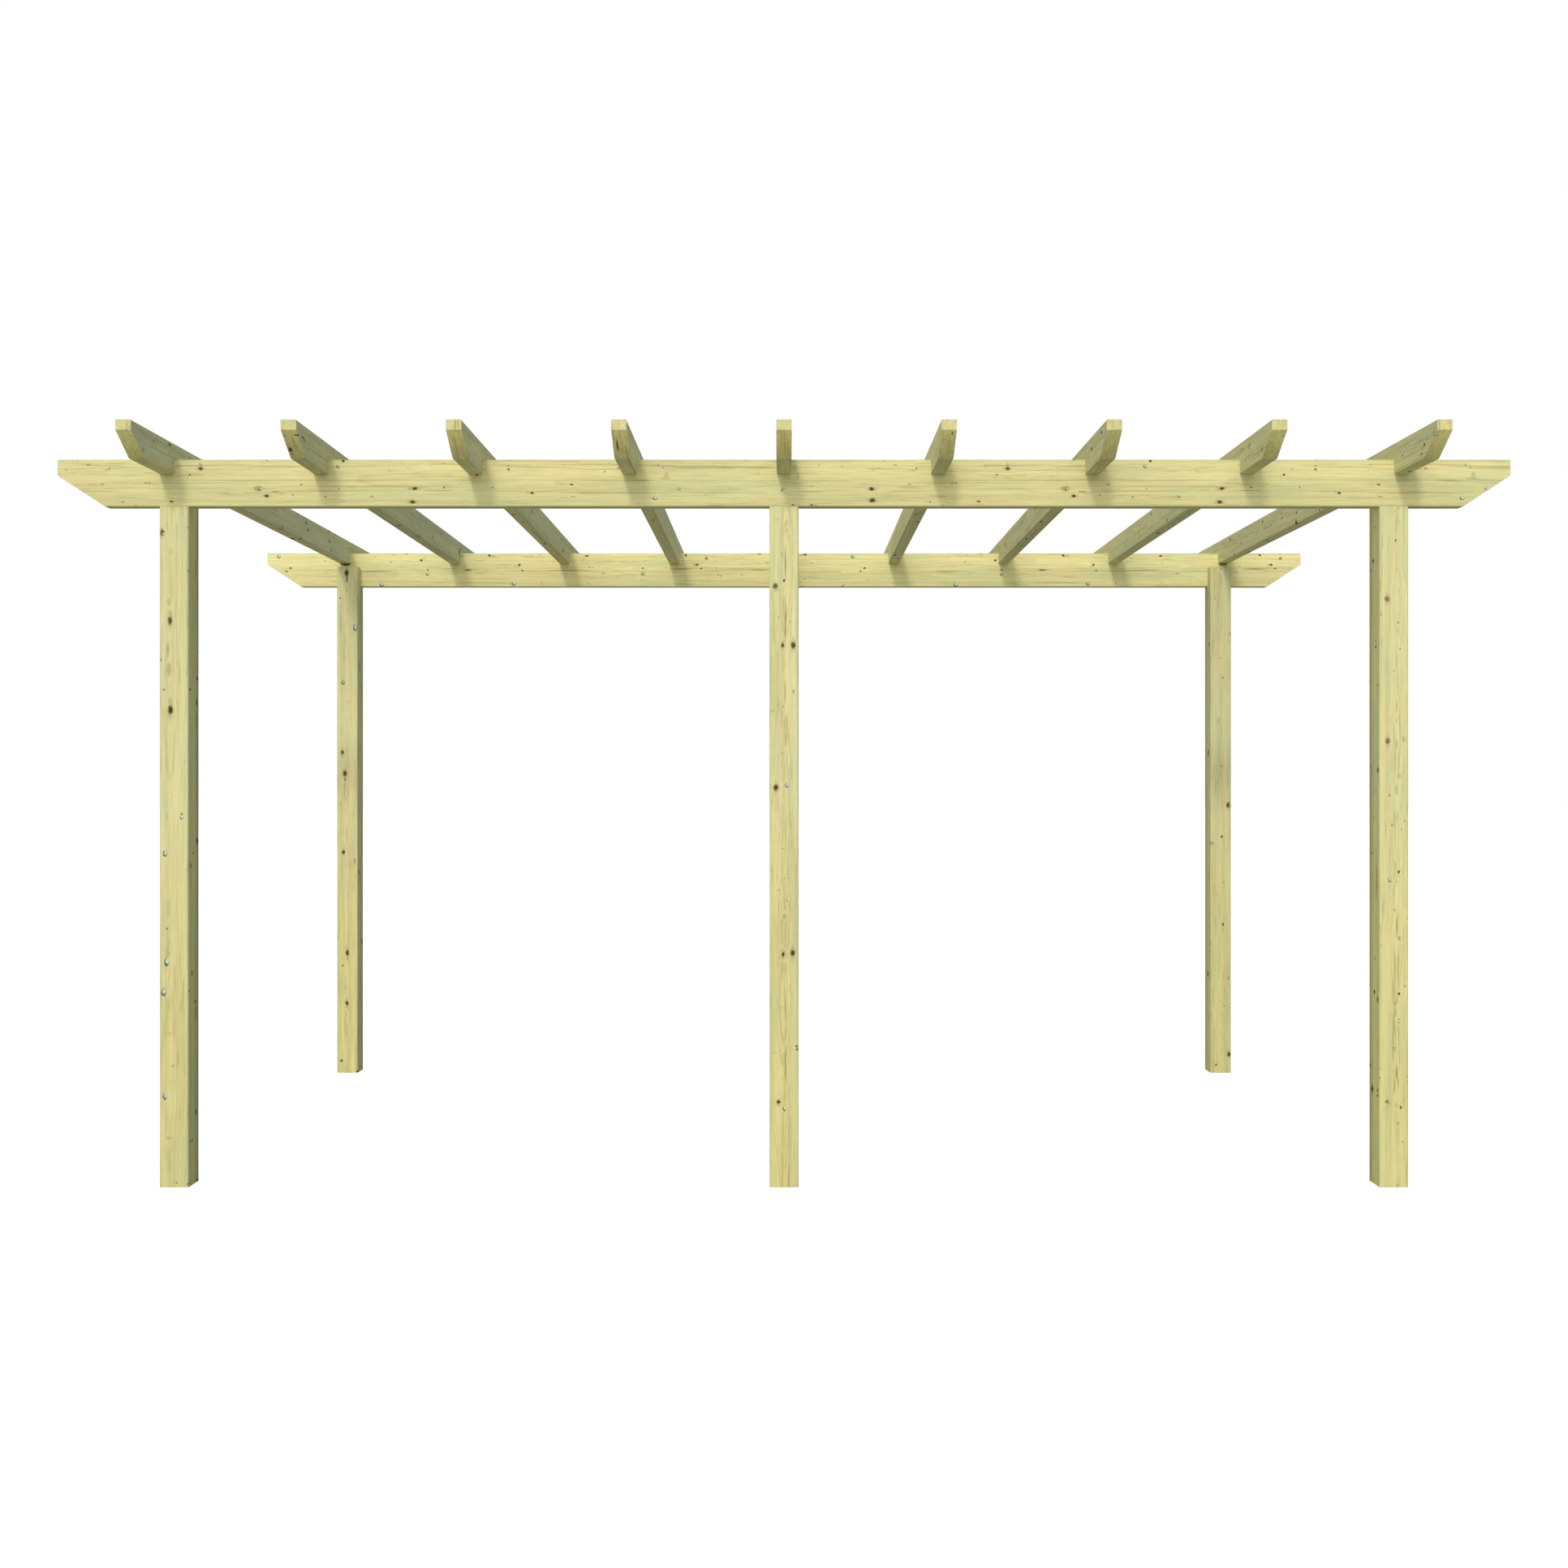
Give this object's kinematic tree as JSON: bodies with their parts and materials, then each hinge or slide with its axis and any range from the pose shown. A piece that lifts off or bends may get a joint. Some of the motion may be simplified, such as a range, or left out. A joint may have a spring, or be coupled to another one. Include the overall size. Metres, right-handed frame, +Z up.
{
  "type": "wooden pergola",
  "caption": "Free-standing open pergola of planed softwood: square posts carry a front and a back beam, and rafters with slanting ends are notched over both beams.",
  "frame": {"origin": "on the ground, in the middle of the plan", "axes": "+X to the right along the beams, +Y from the front row of posts to the back row, +Z up"},
  "size_m": [4.5, 2.7, 2.305],
  "materials": {
    "post_timber": "planed, pressure-treated softwood with a pale green-yellow cast, unpainted",
    "beam_timber": "planed, pressure-treated softwood with a pale green-yellow cast, unpainted",
    "rafter_timber": "planed, pressure-treated softwood with a pale green-yellow cast, unpainted"
  },
  "bodies": {
    "root": {"post_front_left": "post_timber", "post_front_middle": "post_timber", "post_front_right": "post_timber", "post_back_left": "post_timber", "post_back_middle": "post_timber", "post_back_right": "post_timber", "beam_front": "beam_timber", "beam_back": "beam_timber", "rafter_1": "rafter_timber", "rafter_2": "rafter_timber", "rafter_3": "rafter_timber", "rafter_4": "rafter_timber", "rafter_5": "rafter_timber", "rafter_6": "rafter_timber", "rafter_7": "rafter_timber", "rafter_8": "rafter_timber", "rafter_9": "rafter_timber"}
  },
  "joints": []
}
